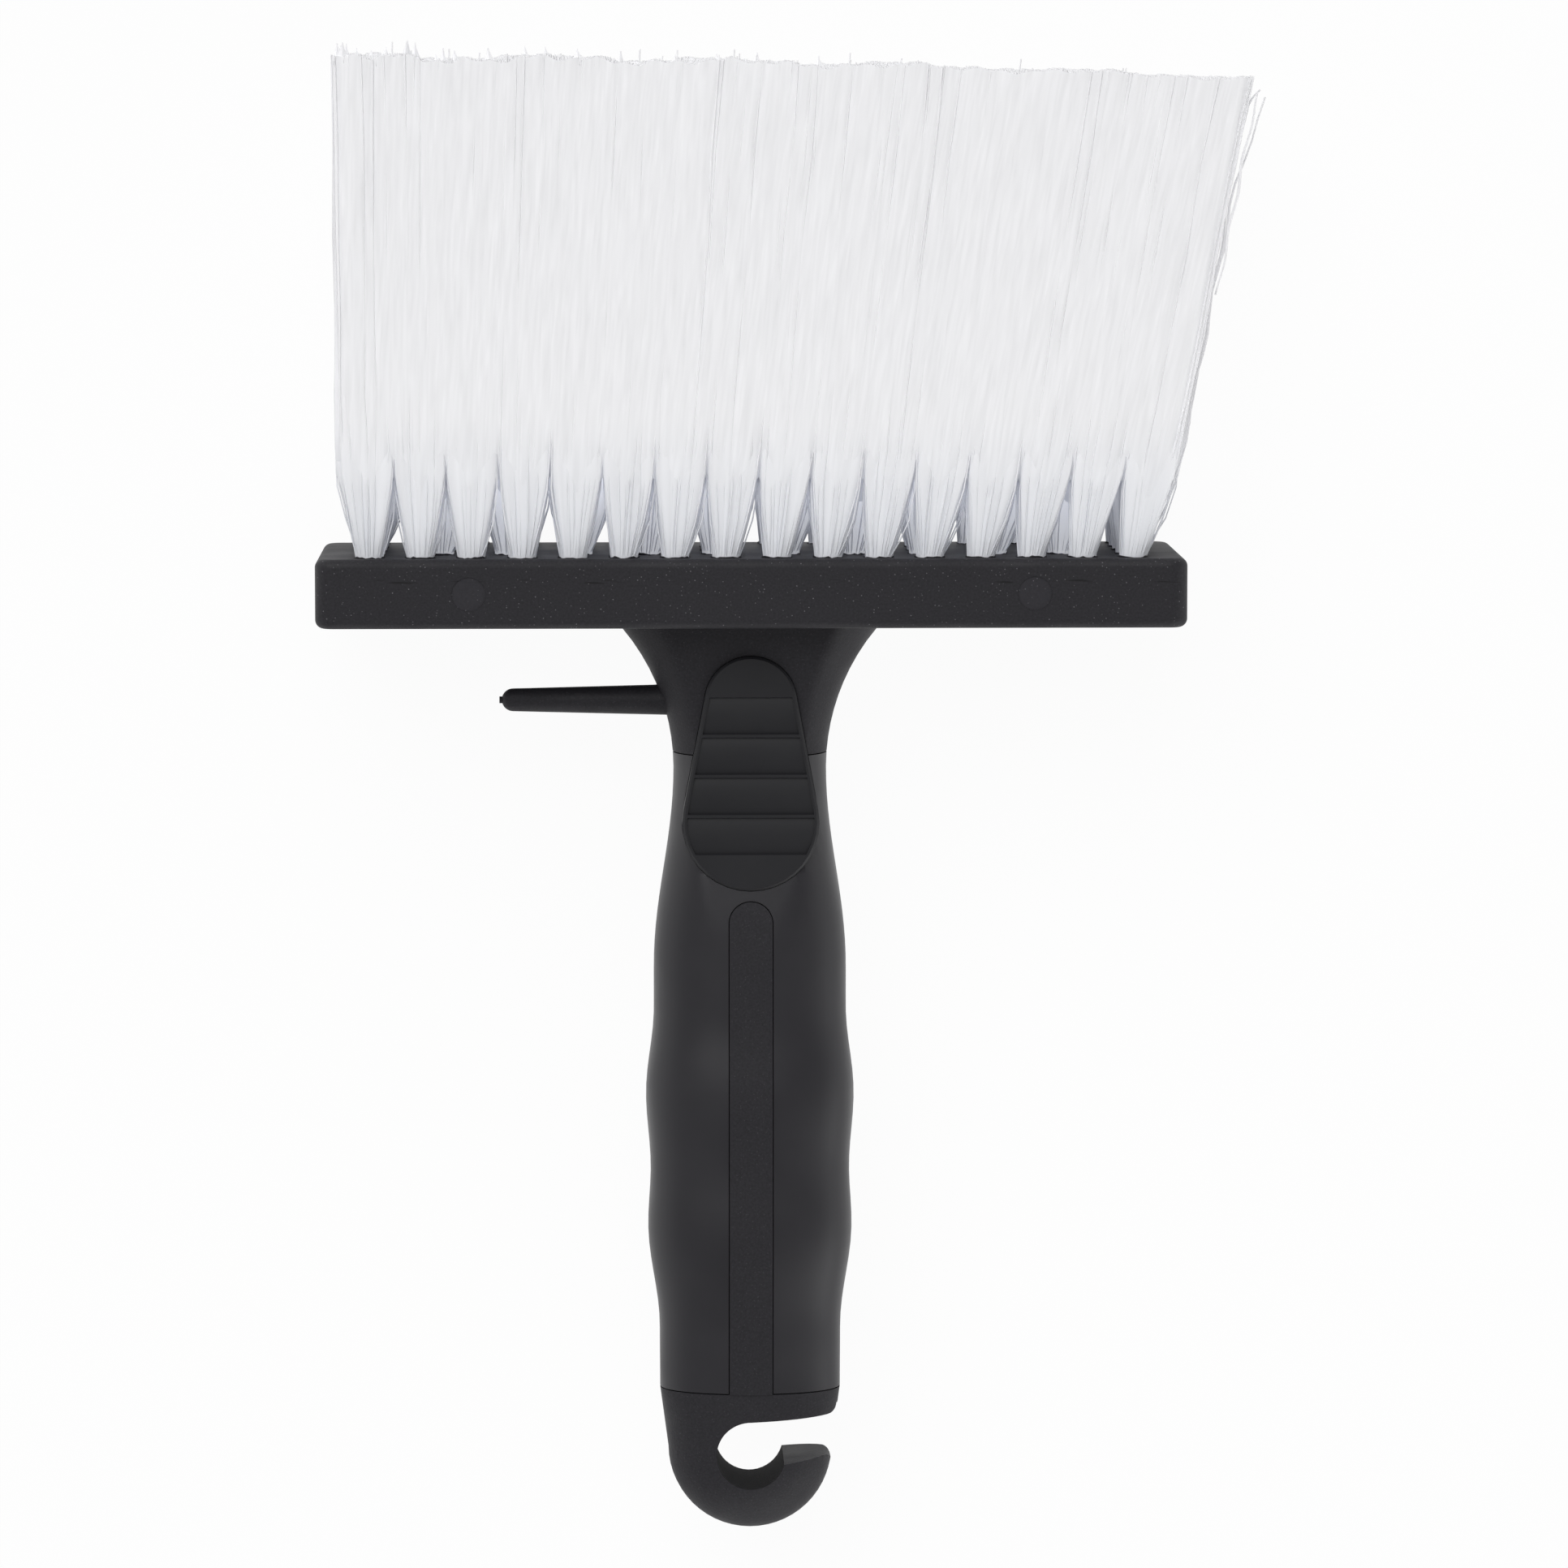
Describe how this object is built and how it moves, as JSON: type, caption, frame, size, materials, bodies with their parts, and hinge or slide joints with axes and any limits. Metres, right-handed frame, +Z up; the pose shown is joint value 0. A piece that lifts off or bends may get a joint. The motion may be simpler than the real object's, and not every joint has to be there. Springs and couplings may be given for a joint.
{
  "type": "block brush",
  "caption": "Wide block brush with rows of white tufts in a black moulded stock, a soft grip with ridged thumb pads, a side peg and an open hanging hook.",
  "frame": {"origin": "middle of the flat back face of the block", "axes": "+X along the block, to the right with the front up; +Y towards the bristle tips; +Z up out of the front of the lying brush"},
  "size_m": [0.1601, 0.2587, 0.044],
  "materials": {
    "black_polypropylene": "fine textured moulding",
    "soft_grip": "smooth matt elastomer",
    "bristle": "translucent white crimped filament",
    "anchor_wire": "plain drawn wire"
  },
  "bodies": {
    "root": {"stock": "black_polypropylene", "grip_sleeve": "soft_grip", "thumb_pad_front": "soft_grip", "thumb_pad_back": "soft_grip", "tuft_row_1": "bristle", "tuft_row_2": "bristle", "tuft_row_3": "bristle", "tuft_row_4": "bristle", "tuft_row_5": "bristle", "anchor_row_1": "anchor_wire", "anchor_row_2": "anchor_wire", "anchor_row_3": "anchor_wire", "anchor_row_4": "anchor_wire", "anchor_row_5": "anchor_wire"}
  },
  "joints": []
}
